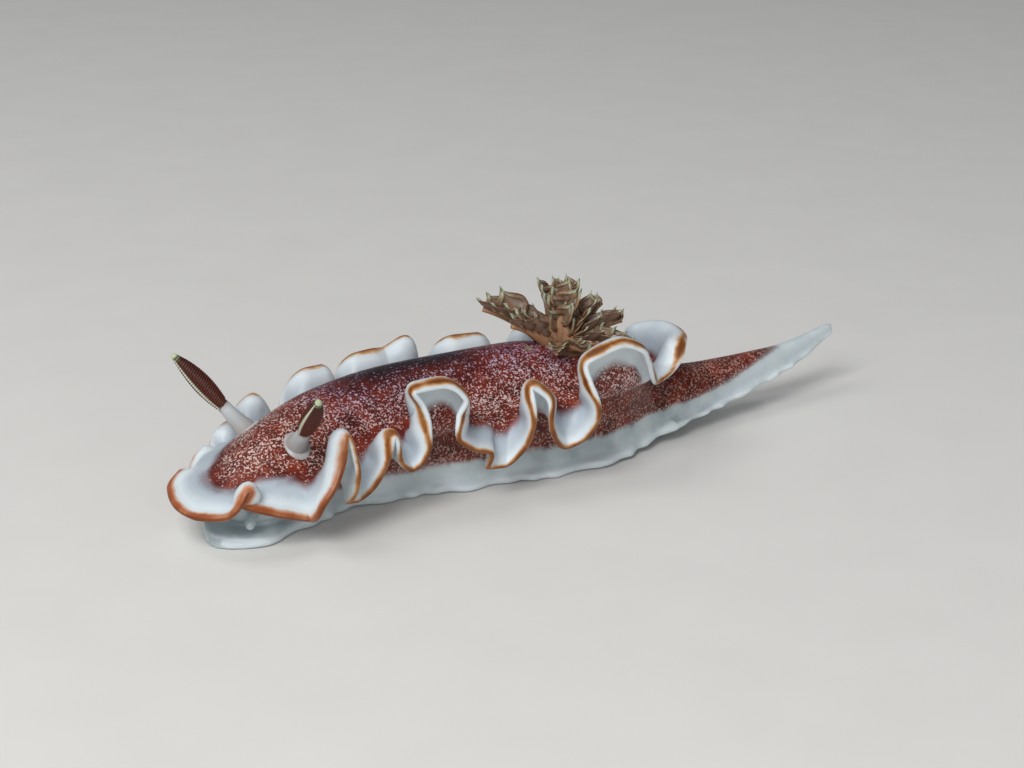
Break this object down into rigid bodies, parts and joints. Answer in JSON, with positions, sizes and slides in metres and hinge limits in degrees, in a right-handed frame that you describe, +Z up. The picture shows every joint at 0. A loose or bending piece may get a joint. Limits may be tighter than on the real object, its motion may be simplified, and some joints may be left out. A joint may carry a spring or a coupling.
{
  "type": "caramel nudibranch model",
  "caption": "Life-size still model of a crawling caramel nudibranch: ruffled mantle, feelers, gill plumes, flat foot and lifted tail.",
  "frame": {"origin": "on the flat sole, under the middle of the back", "axes": "+X from the head to the tail, +Z up, -Y towards the animal's left, the side the picture shows"},
  "size_m": [0.0462, 0.019, 0.0113],
  "materials": {
    "skin": "wet skin, red-brown with fine white flecks, a caramel margin and a pale foot",
    "feeler": "wet, dark maroon plates on a pale stalk",
    "gill": "wet, translucent brown with pale green edges"
  },
  "bodies": {
    "root": {"notum_front": "skin", "notum_middle": "skin", "notum_rear": "skin", "frill_left_front": "skin", "frill_left_shoulder": "skin", "frill_left_middle": "skin", "frill_left_rear": "skin", "frill_right_front": "skin", "frill_right_shoulder": "skin", "frill_right_middle": "skin", "frill_right_rear": "skin", "foot_front": "skin", "foot_middle": "skin", "foot_rear": "skin", "flank_neck": "skin", "flank_middle": "skin", "flank_rear": "skin", "tail_root": "skin", "tail_tip": "skin", "head": "skin", "oral_tentacle_left": "skin", "oral_tentacle_right": "skin", "rhinophore_left": "feeler", "rhinophore_right": "feeler", "gills": "gill"}
  },
  "joints": []
}
